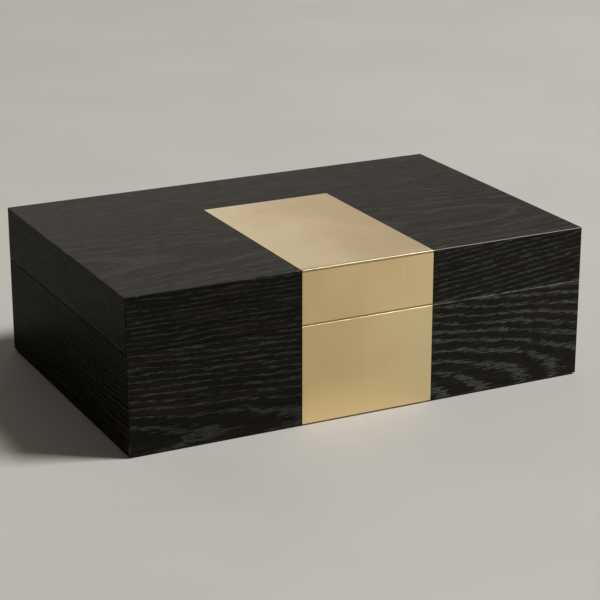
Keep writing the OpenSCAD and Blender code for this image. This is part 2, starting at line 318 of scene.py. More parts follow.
@dataclass(frozen=True)
class Figure:
    """Growth rings that a flat-sawn sheet of veneer cuts through. Lengths are in millimetres.

    Attributes:
        heart: Height, across the grain, of the line nearest the tree's middle.
        depth: How deep the tree's middle lies under that line: the rings are wide above it.
        ring: Thickness of a year's growth.
        reach: Length, along the grain, after which the sheet is one ring nearer the bark.
        slope: Rise of the heart line along the grain.
        wander: How far the rings stray from their course.
        ripple: Height of their small waves.
        swell: How much the rings bulge, in rings.
        teeth: How ragged their edges are, in rings.
        offset: Number of rings that the whole figure is moved by.
        early: Share of each ring that is open-pored.
        opening: Share of that early wood over which its pores open.
        closing: Shares of it at which they start to close and are closed.
        stray_size: Length and height of the rings' stray bends.
        ripple_size: Length and height of their small waves.
        swell_size: Length and height of their bulges.
        tooth_size: Length and height of their ragged teeth.
        through: Depth over which the figure would change, far more than a sheet's thickness.
    """

    heart: float = 0.0
    depth: float = 50.0
    ring: float = 2.7
    reach: float = 40.0
    slope: float = 0.0
    wander: float = 3.0
    ripple: float = 1.6
    swell: float = 0.8
    teeth: float = 0.8
    offset: float = 0.0
    early: float = 0.5
    opening: float = 0.3
    closing: tuple[float, float] = (0.7, 1.25)
    stray_size: tuple[float, float] = (70.0, 22.0)
    ripple_size: tuple[float, float] = (11.0, 3.2)
    swell_size: tuple[float, float] = (45.0, 300.0)
    tooth_size: tuple[float, float] = (12.0, 1.1)
    through: float = 400.0

    def rings(self, place: Signal) -> Signal:
        """Counts the rings from the heart.

        Args:
            place: Where a point is on the sheet.

        Returns:
            The number of rings between the heart and the point.
        """
        along, across, _ = place.parts()
        stray = place.noise((*self.stray_size, self.through), detail=1.0) - 0.5
        ripple = place.noise((*self.ripple_size, self.through), rough=0.6) - 0.5
        swell = place.noise((*self.swell_size, self.through), detail=1.0)
        teeth = place.noise((*self.tooth_size, self.through))
        height = across - self.heart - along * self.slope
        height = height + stray * (2 * self.wander) + ripple * self.ripple
        radius = (height * height + self.depth**2).root() / self.ring
        ragged = swell * self.swell + teeth * self.teeth
        return radius + along / self.reach + ragged + self.offset

    def early_wood(self, place: Signal) -> Signal:
        """Finds the open-pored part of each ring.

        Args:
            place: Where a point is on the sheet.

        Returns:
            How open-pored the wood is there, from 0 to 1.
        """
        in_ring = self.rings(place).fraction()
        start, end = (self.early * share for share in self.closing)
        return in_ring.step(0.0, self.early * self.opening) * in_ring.step(start, end, 1.0, 0.0)


@dataclass(frozen=True)
class Wear:
    """Arrises of a block, with wear where it is held and knocked where it stands, and a painted
    highlight where the lamp catches them.

    Attributes:
        low: Lowest corner of the block.
        high: Its highest corner.
        rubbed: Pale colour on the arrises: exposed wood, lightened to a painted highlight.
        scuffed: Colour of the exposed wood on the bottom arris.
        width: How the wear and the painted highlight fade with the distance from an arris, in
            millimetres.
        right: How much more the arrises are marked towards the right, which puts the painted
            highlight where the lamp catches them.
        top: How much more they are marked towards the top, for the painted highlight on the lid's
            top arrises.
        foot: How much more they are marked at its very bottom.
        scuff: Heights over the floor between which the scuffed wood ends.
        bared: Amounts of wear at which the finish starts to give and is gone.
        nick: Size of the knocks, in millimetres.
        hand: Size of the stretches that are handled more or less, in millimetres.
        knocked: Share of the knocks in the wear.
        handled: Share of the handling in it.
    """

    low: Vector
    high: Vector
    rubbed: Colour = (0.32, 0.305, 0.28)
    scuffed: Colour = (0.16, 0.075, 0.035)
    width: Ramp = Ramp(0.2, 0.46, 1.0, 0.0)
    right: Ramp = Ramp(-30.0, 45.0, 0.0, 0.35)
    top: Ramp = Ramp(60.0, 89.0, 0.0, 0.22)
    foot: Ramp = Ramp(1.0, 18.0, 0.3, 0.0)
    scuff: Ramp = Ramp(2.0, 4.0)
    bared: Ramp = Ramp(0.64, 0.9)
    nick: float = 5.0
    hand: float = 36.0
    knocked: float = 0.4
    handled: float = 0.45

    def over(self, colour: Signal) -> Signal:
        """Wears a finish through along the arrises, and paints a highlight there.

        Args:
            colour: Colour of the sound finish.

        Returns:
            The colour with its wear and its painted highlight.
        """
        place = colour.graph.place(Lie.ALONG_X_ACROSS_Y)
        x, y, z = (
            (part - low / MM).smaller(high / MM - part)
            for part, low, high in zip(place.parts(), self.low, self.high)
        )
        from_arris = x.smaller(y).larger(x.larger(y).smaller(z))
        along, _, height = place.parts()
        nicks = place.noise((self.nick,) * 3, detail=4.0, rough=0.7)
        hands = place.noise((self.hand,) * 3)
        # The ramps to the right and towards the top place a painted highlight on the arrises where
        # the lamp catches them; the knocks and the handling are wear.
        wear_and_highlight_level = nicks * self.knocked + hands * self.handled + along.step(*self.right)
        wear_and_highlight_level = wear_and_highlight_level + height.step(*self.top) + height.step(*self.foot)
        wear_and_highlight_mask = from_arris.step(*self.width) * wear_and_highlight_level.step(*self.bared)
        # The arrises turn to a pale painted highlight over exposed wood, or to scuffed wood near
        # the floor.
        return wear_and_highlight_mask.blend(colour, height.step(*self.scuff).blend(self.scuffed, self.rubbed))


@dataclass(frozen=True)
class StainedOak(Finish):
    """Open-pored oak veneer, stained black-brown and lacquered to a satin.

    Sizes are taken along, across and through the grain, in millimetres.

    Attributes:
        figure: The rings that show.
        ground: Colour of the dense late wood.
        warm: Colour of the late wood where the stain let the brown through.
        pore: Colour of the filled pores.
        pore_share: How strongly the pores show, from 0 to 1.
        tone: How the ground passes into the warm colour.
        patches: How fully the early wood's pores show from patch to patch.
        sparse: Level above which the pores' noise makes a pore where they are fewest.
        crowding: How much lower that level is in the early wood.
        softness: Range of levels over which a pore's edge fades.
        hairs: How faintly the finest pores show.
        lacquer: Refractive index of the thin lacquer, which sets its gloss.
        roughness: How blurred its reflections are.
        relief: Depth of the open pores, in millimetres.
        wear: The wear and painted highlight on its arrises, if there are any.
        streak_size: Size of the streaks in the ground.
        cloud_size: Size of the clouds in it.
        streaked: Share of the streaks in its tone, beside the clouds.
        swollen: Height of the streaks, as a share of the pores' depth.
        satin_size: Size of the patches over which the lacquer's blur varies.
        unevenness: How far it varies.
        pore_blur: How much more the open pores blur reflections.
        patch_size: Size of the patches with fuller pores.
        pore_size: Size of the pores.
        hair_size: Size of the finest pores.
    """

    figure: Figure
    ground: Colour = (0.0042, 0.0044, 0.0026)
    warm: Colour = (0.0138, 0.0086, 0.0056)
    pore: Colour = (0.052, 0.056, 0.049)
    pore_share: float = 1.0
    tone: Ramp = Ramp(0.46, 0.62)
    patches: Ramp = Ramp(0.3, 0.55, 0.72, 1.0)
    sparse: float = 0.7
    crowding: float = 0.285
    softness: float = 0.09
    hairs: Ramp = Ramp(0.48, 0.68, 0.0, 0.22)
    lacquer: float = 1.2
    roughness: float = 0.38
    relief: float = 0.012
    wear: Wear | None = None
    streak_size: Grain = (26.0, 1.4, 30.0)
    cloud_size: Grain = (48.0, 7.0, 50.0)
    streaked: float = 0.4
    swollen: float = 0.4
    satin_size: Grain = (9.0, 2.0, 9.0)
    unevenness: tuple[float, float] = (-0.04, 0.04)
    pore_blur: float = 0.15
    patch_size: Grain = (20.0, 3.0, 60.0)
    pore_size: Grain = (5.4, 0.42, 4.0)
    hair_size: Grain = (9.0, 0.28, 9.0)

    def look(self, place: Signal) -> Inputs:
        """Works out the inputs of the surface's shader.

        Args:
            place: Where a point is on the texture.

        Returns:
            The inputs by their names.
        """
        streaks = place.noise(self.streak_size, detail=3.0, rough=0.6)
        cloud = place.noise(self.cloud_size, rough=0.6)
        tone = streaks * self.streaked + cloud * (1 - self.streaked)
        pores = self.pores(place)
        marks = pores.larger(place.noise(self.hair_size).step(*self.hairs))
        colour = tone.step(*self.tone).blend(self.ground, self.warm)
        colour = (marks * self.pore_share).blend(colour, self.pore)
        satin = place.noise(self.satin_size, detail=3.0)
        blur = satin.step(*MOST, *about(self.roughness, self.unevenness))
        return {
            "Base Color": self.wear.over(colour) if self.wear else colour,
            "Roughness": blur + pores * self.pore_blur,
            "IOR": self.lacquer,
            "Normal": (streaks * self.swollen - marks).bump(self.relief),
        }

    def pores(self, place: Signal) -> Signal:
        """Draws the pores as short dashes, close together in the early wood.

        Args:
            place: Where a point is on the sheet.

        Returns:
            How far the point is in a pore, from 0 to 1.
        """
        patches = place.noise(self.patch_size).step(*self.patches)
        dashes = place.noise(self.pore_size, detail=3.0, rough=0.68)
        edge = self.sparse - self.figure.early_wood(place) * patches * self.crowding
        return dashes.step(edge, edge + self.softness)


@dataclass(frozen=True)
class Line:
    """Thin line of another colour across the strokes of a brushed sheet.

    Attributes:
        start: Where it starts along the strokes, in millimetres.
        end: Where it ends.
        share: How strong it is, from 0 to 1.
        colour: Its colour.
        core: Share of its width that is as strong as that.
        fade: Share of its width at which it has faded out.
    """

    start: float
    end: float
    share: float
    colour: Colour
    core: float = 0.6
    fade: float = 1.2

    def over(self, colour: Signal, along: Signal) -> Signal:
        """Draws the line over a colour.

        Args:
            colour: The sheet's colour.
            along: Where a point is along the strokes.

        Returns:
            The colour with the line.
        """
        half = (self.end - self.start) / 2
        beyond = abs(along - (self.start + self.end) / 2)
        share = beyond.step(half * self.core, half * self.fade, self.share, 0.0)
        return share.blend(colour, self.colour)


@dataclass(frozen=True)
class BrushedBrass(Finish):
    """Brass sheet, brushed one way to a satin and lacquered. Places are along the strokes.

    Sizes are taken along, across and through the strokes, in millimetres.

    Attributes:
        pale: Colour of the bright strokes.
        deep: Colour of the dull strokes.
        warm: Colour of the warm reflection painted on the front and at its foot.
        tone: Range of cleanness, with the painted reflection added, over which the dull strokes
            turn bright.
        lean: Painted reflection: how much brighter it gets for each millimetre to the right on the
            front, and darker on the top.
        foot: Painted reflection: how much brighter it is near its foot.
        front_warmth: How far the front takes the painted warm reflection.
        foot_warmth: How much more of it its foot takes.
        roughness: How blurred its reflections are.
        strokes: How far the brush strokes dent it, in millimetres.
        lines: Lines of painted shade, and of wear toned for the highlight, beside and along its
            edges.
        stroke_size: Size of the finest strokes.
        band_size: Size of the bands of strokes.
        cloud_size: Size of the clouds where it has tarnished.
        banded: Share of the bands in its cleanness.
        clouded: Share of the clouds in it.
        unevenness: How much more the dull and the bright strokes blur reflections.
    """

    pale: Colour = (0.9, 0.745, 0.43)
    deep: Colour = (0.73, 0.55, 0.265)
    warm: Colour = (1.0, 0.74, 0.365)
    tone: tuple[float, float] = (0.17, 0.55)
    lean: Ramp = Ramp(-6.0, 6.0, 0.0035, -0.0035)
    foot: Ramp = Ramp(-90.0, -60.0, 0.24, 0.0)
    front_warmth: Ramp = Ramp(-6.0, 6.0, 0.36, 0.0)
    foot_warmth: Ramp = Ramp(-90.0, -66.0, 0.22, 0.0)
    roughness: float = 0.34
    strokes: float = 0.0006
    lines: Sequence[Line] = ()
    stroke_size: Grain = (60.0, 0.14, 1.0)
    band_size: Grain = (150.0, 1.1, 1.0)
    cloud_size: Grain = (46.0, 40.0, 1.0)
    banded: float = 0.2
    clouded: float = 0.5
    unevenness: tuple[float, float] = (0.03, -0.02)

    def look(self, place: Signal) -> Inputs:
        """Works out the inputs of the surface's shader.

        Args:
            place: Where a point is on the texture.

        Returns:
            The inputs by their names.
        """
        along, across, _ = place.parts()
        fine = place.noise(self.stroke_size)
        bands = place.noise(self.band_size, detail=3.0, rough=0.6)
        cloud = place.noise(self.cloud_size, detail=4.0)
        # The lean and the foot paint a reflection into the cleanness: brighter to the right and at
        # the foot of the front, darker to the right on the top.
        clean_and_painted_light = bands * self.banded + cloud * self.clouded + across * along.step(*self.lean)
        clean_and_painted_light = clean_and_painted_light + along.step(*self.foot)
        # Painted warm reflection on the front, stronger at its foot.
        painted_warm_reflection = along.step(*self.front_warmth) + along.step(*self.foot_warmth)
        colour = painted_warm_reflection.blend(clean_and_painted_light.step(*self.tone).blend(self.deep, self.pale), self.warm)
        for line in self.lines:
            colour = line.over(colour, along)
        return {
            "Base Color": colour,
            "Metallic": 1.0,
            "Roughness": clean_and_painted_light.step(*self.tone, *about(self.roughness, self.unevenness)),
            "Anisotropic": 0.45,
            "Anisotropic Rotation": 0.25,
            "Tangent": place.graph.signal("ShaderNodeTangent", direction_type="RADIAL", axis="X"),
            "Coat Weight": 0.7,
            "Coat Roughness": 0.3,
            "Normal": fine.bump(self.strokes),
        }


@dataclass(frozen=True)
class SatinBrass(Finish):
    """Solid brass, turned or milled and rubbed down.

    Attributes:
        colour: Its untarnished colour.
        dull: Its colour where it has tarnished a little.
        tarnish: How the untarnished colour passes into the dull one.
        roughness: How blurred its reflections are.
        unevenness: How far that varies.
        relief: Depth of its scratches, in millimetres.
        cloud_size: Size of the clouds where it has tarnished, in millimetres.
        scratch_size: Size of its scratches, in millimetres.
    """

    colour: Colour = (0.84, 0.67, 0.37)
    dull: Colour = (0.72, 0.54, 0.27)
    tarnish: Ramp = Ramp(0.4, 0.7)
    roughness: float = 0.3
    unevenness: tuple[float, float] = (-0.04, 0.06)
    relief: float = 0.001
    cloud_size: Grain = (14.0, 6.0, 6.0)
    scratch_size: Grain = (5.0, 0.12, 0.12)

    def look(self, place: Signal) -> Inputs:
        """Works out the inputs of the surface's shader.

        Args:
            place: Where a point is on the texture.

        Returns:
            The inputs by their names.
        """
        cloud = place.noise(self.cloud_size, detail=3.0)
        scratches = place.noise(self.scratch_size, detail=3.0)
        return {
            "Base Color": cloud.step(*self.tarnish).blend(self.colour, self.dull),
            "Metallic": 1.0,
            "Roughness": scratches.step(*MOST, *about(self.roughness, self.unevenness)),
            "Normal": scratches.bump(self.relief),
        }


@dataclass(frozen=True)
class Nap(Finish):
    """Short-napped cloth such as suede or felt.

    Attributes:
        colour: Colour of the nap where it leans away.
        brushed: Colour of the nap where it leans towards the light.
        fibre: Width of the tufts, in millimetres.
        relief: Depth of the tufts, in millimetres.
        sheen: Strength of the soft glow at grazing angles.
        tuft: Length of the tufts over their width.
        swathe_size: Size of the swathes that lean one way, in millimetres.
        mottle_size: Size of the small mottles, in millimetres.
        shares: Shares of the swathes, the mottles and the tufts in how the nap leans.
        leaning: How the leaning nap passes into the brushed colour.
    """

    colour: Colour
    brushed: Colour
    fibre: float = 0.3
    relief: float = 0.06
    sheen: float = 0.35
    tuft: float = 2.4
    swathe_size: Grain = (48.0, 26.0, 40.0)
    mottle_size: Grain = (2.4, 1.4, 1.4)
    shares: tuple[float, float, float] = (0.55, 0.3, 0.15)
    leaning: Ramp = Ramp(0.34, 0.66)

    def look(self, place: Signal) -> Inputs:
        """Works out the inputs of the surface's shader.

        Args:
            place: Where a point is on the texture.

        Returns:
            The inputs by their names.
        """
        swathes = place.noise(self.swathe_size, detail=3.0, twist=0.6)
        tuft_size = (self.fibre * self.tuft, self.fibre, self.fibre)
        tufts = place.noise(tuft_size, detail=4.0, rough=0.7)
        mottles = place.noise(self.mottle_size, detail=3.0)
        swathed, mottled, tufted = self.shares
        lean = swathes * swathed + mottles * mottled + tufts * tufted
        return {
            "Base Color": lean.step(*self.leaning).blend(self.colour, self.brushed),
            "Roughness": 0.95,
            "Specular IOR Level": 0.1,
            "Sheen Weight": self.sheen,
            "Sheen Roughness": 0.5,
            "Sheen Tint": (*self.brushed, 1.0),
            "Normal": tufts.bump(self.relief),
        }


@dataclass(frozen=True)
class Fibreboard(Finish):
    """Plain board inside the walls: fine fibres and a few dark flecks.

    Attributes:
        colour: Colour of the board.
        fleck: Colour of the flecks.
        layers: Thickness of its plies in millimetres, or 0 for none.
        relief: Depth of its fibres, in millimetres.
        fibre_size: Size of its fibres, in millimetres.
        fleck_size: Size of its flecks, in millimetres.
        fibred: How the fibres pass into the flecks' colour.
        flecked: How the flecks do.
        glue: Share of the flecks' colour where two plies meet.
    """

    colour: Colour
    fleck: Colour
    layers: float = 0.0
    relief: float = 0.05
    fibre_size: Grain = (1.6, 0.3, 0.3)
    fleck_size: Grain = (0.9, 0.5, 0.5)
    fibred: Ramp = Ramp(0.3, 0.75, 0.0, 0.5)
    flecked: Ramp = Ramp(0.62, 0.72)
    glue: float = 0.35

    def look(self, place: Signal) -> Inputs:
        """Works out the inputs of the surface's shader.

        Args:
            place: Where a point is on the texture.

        Returns:
            The inputs by their names.
        """
        fibres = place.noise(self.fibre_size, detail=4.0, rough=0.7)
        flecks = place.noise(self.fleck_size, detail=1.0).step(*self.flecked)
        colour = fibres.step(*self.fibred).blend(self.colour, self.fleck)
        colour = (flecks * 0.5).blend(colour, self.fleck)
        if self.layers:
            ply = place.graph.math("PINGPONG", place.parts()[2], self.layers)
            colour = ply.step(0.0, self.layers, self.glue, 0.0).blend(colour, self.fleck)
        return {
            "Base Color": colour,
            "Roughness": 0.85,
            "Specular IOR Level": 0.3,
            "Normal": fibres.bump(self.relief),
        }


@dataclass(frozen=True)
class Rubber(Finish):
    """Matte rubber with a dusty bloom.

    Attributes:
        colour: Colour of the rubber.
        bloom: Colour of the bloom.
        relief: Depth of its unevenness, in millimetres.
        dust: Size of the bloom's specks, in millimetres.
        dusty: How the rubber passes into the bloom.
    """

    colour: Colour = srgb("2b2b2b")
    bloom: Colour = srgb("474644")
    relief: float = 0.02
    dust: float = 1.2
    dusty: Ramp = Ramp(0.45, 0.75)

    def look(self, place: Signal) -> Inputs:
        """Works out the inputs of the surface's shader.

        Args:
            place: Where a point is on the texture.

        Returns:
            The inputs by their names.
        """
        specks = place.noise((self.dust,) * 3, detail=4.0)
        return {
            "Base Color": specks.step(*self.dusty).blend(self.colour, self.bloom),
            "Roughness": 0.8,
            "Specular IOR Level": 0.35,
            "Normal": specks.bump(self.relief),
        }


@dataclass(frozen=True)
class FloorPaint(Finish):
    """Flat paint on the studio's floor, a little cloudy.

    Attributes:
        colour: Its colour.
        shade: Share of the light that its darker clouds still give back.
        cloud: Size of its clouds, in millimetres.
        clouded: How the colour passes into the darker clouds.
    """

    colour: Colour = srgb("c0bdb6")
    shade: float = 0.96
    cloud: float = 160.0
    clouded: Ramp = Ramp(0.35, 0.65)

    def look(self, place: Signal) -> Inputs:
        """Works out the inputs of the surface's shader.

        Args:
            place: Where a point is on the texture.

        Returns:
            The inputs by their names.
        """
        clouds = place.noise((self.cloud,) * 3, detail=3.0)
        darker = tuple(part * self.shade for part in self.colour)
        return {
            "Base Color": clouds.step(*self.clouded).blend(self.colour, darker),
            "Roughness": 0.85,
            "Specular IOR Level": 0.2,
        }


# ---------------------------------------------------------------------------------------- shapes

X, Y, Z = range(3)
CREASE = 35.0  # angle in degrees above which an edge stays sharp
EASED_FROM = 40.0  # angle in degrees above which an edge is eased
PAST = 5 * MM  # how far a cutter reaches past what it cuts


def unit(axis: int) -> Vector:
    """Direction of an axis."""
    return Vector(float(i == axis) for i in range(3))


class Side(Enum):
    """The sides of the box, each with the number of quarter turns that bring the front to it."""

    FRONT = 0
    RIGHT = 1
    BACK = 2
    LEFT = 3

    @property
    def word(self) -> str:
        """The side's word in the names of the pieces."""
        return self.name.lower()

    @property
    def turn(self) -> Matrix:
        """Turn that brings the front to the side."""
        return Matrix.Rotation(self.value * math.pi / 2, 3, "Z")

    @property
    def out(self) -> Vector:
        """Direction in which the side faces."""
        return self.turn @ -unit(Y)

    @property
    def run(self) -> Vector:
        """Direction along the side, with its outside on the right."""
        return self.turn @ unit(X)

    @property
    def lie(self) -> Lie:
        """How a texture lies that runs along the side's face."""
        return Lie.ALONG_Y_UP_Z if self.value % 2 else Lie.ALONG_X_UP_Z

    @property
    def level_lie(self) -> Lie:
        """How a texture lies that runs along the side's rim."""
        return Lie.ALONG_Y_ACROSS_X if self.value % 2 else Lie.ALONG_X_ACROSS_Y


@dataclass
class Block:
    """A solid that is worked by sawing and rounding.

    Attributes:
        mesh: The mesh as it stands.
    """

    mesh: bmesh.types.BMesh = field(default_factory=bmesh.new)

    @classmethod
    def square(cls, low: Vector, high: Vector) -> Block:
        """Makes a block with sharp edges.

        Args:
            low: Its lowest corner.
            high: Its highest corner.

        Returns:
            The block.
        """
        block = cls()
        bmesh.ops.create_cube(block.mesh, size=1.0)
        middle, size = (low + high) / 2, high - low
        for vertex in block.mesh.verts:
            vertex.co = Vector(c * s + m for c, s, m in zip(vertex.co, size, middle))
        return block

    @classmethod
    def rounded(cls, low: Vector, high: Vector, radius: float, facets: int = 4) -> Block:
        """Makes a block with all its edges rounded.

        Args:
            low: Its lowest corner.
            high: Its highest corner.
            radius: Radius of its edges.
            facets: Number of flats round an edge.

        Returns:
            The block.
        """
        block = cls.square(low, high)
        block.round_edges(block.mesh.edges, radius, facets)
        return block

    @classmethod
    def drawn(cls, section: Section, x0: float, x1: float) -> Block:
        """Makes a bar that runs to the right.

        Args:
            section: Points of y and z, in turn round its section.
            x0: Where it starts.
            x1: Where it ends.

        Returns:
            The block.
        """
        block = cls()
        first, last = ([block.mesh.verts.new((x, y, z)) for y, z in section] for x in (x0, x1))
        block.mesh.faces.new(first)
        block.mesh.faces.new(reversed(last))
        for i, vertex in enumerate(first):
            j = (i + 1) % len(first)
            block.mesh.faces.new((first[j], vertex, last[i], last[j]))
        bmesh.ops.recalc_face_normals(block.mesh, faces=block.mesh.faces)
        return block

    def edges_at(self, axis: int, *places: float) -> list[bmesh.types.BMEdge]:
        """The edges that lie in planes across an axis, at places along it."""
        return [
            edge
            for edge in self.mesh.edges
            if any(all(abs(end.co[axis] - at) < TINY for end in edge.verts) for at in places)
        ]

    def round_edges(
        self, edges: Iterable[bmesh.types.BMEdge], radius: float, facets: int = 4
    ) -> None:
        """Rounds some of the edges, with a number of facets round each."""
        bmesh.ops.bevel(
            self.mesh,
            geom=list(edges),
            offset=radius,
            offset_type="OFFSET",
            segments=facets,
            profile=0.5,
            affect="EDGES",
            clamp_overlap=True,
        )

    def saw(self, point: Sequence[float], away: Sequence[float]) -> None:
        """Saws the block in two and keeps one part.

        Args:
            point: A point that the saw passes through.
            away: Direction, square to the cut, of the part that is taken off.
        """
        self._bisect(point, away, clear=True)
        rim = [edge for edge in self.mesh.edges if edge.is_boundary]
        bmesh.ops.holes_fill(self.mesh, edges=rim, sides=0)

    def score(self, axis: int, places: Iterable[float]) -> None:
        """Divides the faces and takes nothing off.

        Args:
            axis: The axis that the lines are square to.
            places: Where they cross it.
        """
        across = unit(axis)
        for place in places:
            self._bisect(across * place, across, clear=False)

    def _bisect(self, point: Sequence[float], normal: Sequence[float], clear: bool) -> None:
        """Divides every face that a plane crosses, and clears what is beyond it if asked."""
        bmesh.ops.bisect_plane(
            self.mesh,
            geom=[*self.mesh.verts, *self.mesh.edges, *self.mesh.faces],
            dist=ON_CUT,
            plane_co=point,
            plane_no=normal,
            clear_outer=clear,
        )

    def turn(self, side: Side) -> None:
        """Turns what was drawn for the front to another side."""
        bmesh.ops.transform(self.mesh, matrix=side.turn.to_4x4(), verts=self.mesh.verts)

    def piece(
        self, name: str, material: bpy.types.Material, crease: float = CREASE
    ) -> bpy.types.Object:
        """Turns the block into an object.

        Args:
            name: Name of the object.
            material: Its finish.
            crease: Angle in degrees above which an edge stays sharp.

        Returns:
            The object.
        """
        mesh = bpy.data.meshes.new(name)
        self.mesh.to_mesh(mesh)
        self.mesh.free()
        mesh.polygons.foreach_set("use_smooth", [True] * len(mesh.polygons))
        mesh.set_sharp_from_angle(angle=math.radians(crease))
        mesh.materials.append(material)
        piece = bpy.data.objects.new(name, mesh)
        bpy.context.scene.collection.objects.link(piece)
        return piece


def settle(piece: bpy.types.Object) -> None:
    """Turns what a piece's modifiers make into its own mesh.

    Args:
        piece: The piece.
    """
    bpy.context.view_layer.update()
    seen = piece.evaluated_get(bpy.context.evaluated_depsgraph_get())
    mesh = bpy.data.meshes.new_from_object(seen)
    piece.modifiers.clear()
    piece.data = mesh


def cut_out(piece: bpy.types.Object, low: Vector, high: Vector) -> None:
    """Cuts a square recess out of a piece.

    Args:
        piece: The piece.
        low: Lowest corner of what is cut out.
        high: Its highest corner.
    """
    cutter = Block.square(low, high).piece("cutter", piece.data.materials[0])
    recess = piece.modifiers.new("recess", "BOOLEAN")
    recess.operation, recess.solver, recess.object = "DIFFERENCE", "EXACT", cutter
    settle(piece)
    piece.data.set_sharp_from_angle(angle=math.radians(CREASE))
    bpy.data.objects.remove(cutter)


def keep_flats_flat(piece: bpy.types.Object) -> None:
    """Shades the flat faces flat beside their rounded edges."""
    piece.modifiers.new("flat_faces", "WEIGHTED_NORMAL").keep_sharp = True


def install(piece: bpy.types.Object, node: str, body: str) -> None:
    """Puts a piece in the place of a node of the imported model.

    Args:
        piece: The piece.
        node: The node.
        body: The body that it rides on.
    """
    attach(piece, body)
    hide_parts(node)
    log.info("%s: new piece on the %s, in place of the node", node, body)


def refinish(node: str, material: bpy.types.Material, easing: float = 0.0) -> None:
    """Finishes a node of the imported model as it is.

    Args:
        node: Name of the node.
        material: Its finish.
        easing: Width by which its edges are eased, or 0 to leave them sharp.
    """
    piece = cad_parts[node]
    if not piece.material_slots:
        piece.data.materials.append(material)
    for holder in piece.material_slots:
        holder.link = "OBJECT"
        holder.material = material
    if easing:
        bevel = piece.modifiers.new("eased_edges", "BEVEL")
        bevel.width, bevel.segments, bevel.limit_method = easing, 2, "ANGLE"
        bevel.angle_limit = math.radians(EASED_FROM)
    log.info("%s: refinished", node)


def arc(y: float, z: float, radius: float, start: float, end: float, facets: int = 8) -> Section:
    """Points round a centre, between two angles in degrees from the back, where 90 is up."""
    turns = [math.radians(start + (end - start) * i / facets) for i in range(facets + 1)]
    return [(y + radius * math.cos(t), z + radius * math.sin(t)) for t in turns]


# --------------------------------------------------------------------------------------- the box

HALVES = ("base", "lid")
HANDS = ("left", "right")


@dataclass
class Shell:
    """Veneered outside of the base or of the lid.

    Attributes:
        body: The body that it belongs to, which begins its pieces' names.
        oaks: Finishes of the sheets, by their names.
        arris: Radius of the outer edges, which carry the wear and the painted highlight.
        rim: Radius of the edges at the rim.
        seat_gap: Gap on each side of a hinge leaf in its seat.
        low: Lowest corner of the outside.
        high: Its highest corner.
    """

    body: str
    oaks: dict[str, StainedOak]
    arris: float = 0.5 * MM
    rim: float = 0.25 * MM
    seat_gap: float = 0.1 * MM
    low: Vector = field(init=False)
    high: Vector = field(init=False)

    def __post_init__(self) -> None:
        """Finds the outside from the veneers' nodes."""
        words = ["front_left", "right", "back", "left"]
        if self.body == "lid":
            words.append("top")
        boxes = [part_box(f"{self.body}_{word}_veneer") for word in words]
        self.low = Vector(min(low[i] for low, _ in boxes) for i in range(3))
        self.high = Vector(max(high[i] for _, high in boxes) for i in range(3))

    def build(self) -> None:
        """Makes the side veneers and puts them in place."""
        for side in Side:
            for end in ("_left", "_right") if side is Side.FRONT else ("",):
                name = f"{self.body}_{side.word}{end}"
                node = f"{name}_veneer"
                piece = self.sheet(node, side, self.finish(name))
                if side is Side.BACK:
                    self.notch_for_hinges(piece)
                keep_flats_flat(piece)
                install(piece, node, self.body)

    def finish(self, name: str) -> bpy.types.Material:
        """The finish of one sheet, with the wear and painted highlight on the outside's arrises.
        """
        return replace(self.oaks[name], wear=Wear(self.low, self.high)).material()

    def outside(self) -> Block:
        """Makes the whole outside as one block, with its edges rounded, and less at the rim.

        Returns:
            The block.
        """
        spare = unit(Z) * 4 * self.arris
        if self.body == "base":
            block = Block.rounded(self.low, self.high + spare, self.arris)
            rim, away = self.high.z, unit(Z)
        else:
            block = Block.rounded(self.low - spare, self.high, self.arris)
            rim, away = self.low.z, -unit(Z)
        block.saw((0, 0, rim), away)
        block.round_edges(block.edges_at(Z, rim), self.rim, facets=3)
        return block

    def trimmed(self, node: str) -> Block:
        """Saws the outside down to one sheet.

        Args:
            node: Name of the sheet's node.

        Returns:
            The block.
        """
        block = self.outside()
        low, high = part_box(node)
        for axis in (X, Y, Z):
            if high[axis] < self.high[axis] - TINY:
                block.saw(high, unit(axis))
            if low[axis] > self.low[axis] + TINY:
                block.saw(low, -unit(axis))
        return block

    def sheet(self, node: str, side: Side, finish: bpy.types.Material) -> bpy.types.Object:
        """Makes the veneer of one side, mitred at the box's corners.

        Args:
            node: Name of its node.
            side: The side.
            finish: Its finish.

        Returns:
            The sheet.
        """
        block = self.trimmed(node)
        middle, reach = (self.low + self.high) / 2, (self.high - self.low) / 2
        for way in (-1, 1):
            outward = side.out + way * side.run
            corner = middle + Vector(o * r for o, r in zip(outward, reach))
            block.saw(corner, way * side.run - side.out)
        return block.piece(f"{node}_sheet", finish)

    def notch_for_hinges(self, piece: bpy.types.Object) -> None:
        """Cuts the seats of the hinge leaves into the back veneer.

        Args:
            piece: The back veneer.
        """
        clear = Vector((self.seat_gap, PAST, 0))
        beyond = unit(Z) * PAST
        for hand in HANDS:
            low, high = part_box(f"{hand}_hinge_{self.body}_leaf")
            if self.body == "base":
                cut_out(piece, low - clear, high + clear + beyond)
            else:
                cut_out(piece, low - clear - beyond, high + clear)


@dataclass
class LidTop:
    """Veneer on the lid's top, let in for the inlay.

    Attributes:
        shell: The lid's outside.
    """

    shell: Shell

    def build(self) -> None:
        """Makes the top veneer and puts it in place."""
        node = "lid_top_veneer"
        piece = self.shell.trimmed(node).piece(f"{node}_sheet", self.shell.finish("lid_top"))
        x0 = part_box("lid_front_left_veneer")[1].x
        x1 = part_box("lid_front_right_veneer")[0].x
        low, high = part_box("lid_inlay")
        gap = low.x - x0
        cut_out(
            piece,
            Vector((x0, low.y - PAST, low.z - PAST)),
            Vector((x1, high.y + gap, high.z + PAST)),
        )
        keep_flats_flat(piece)
        install(piece, node, "lid")


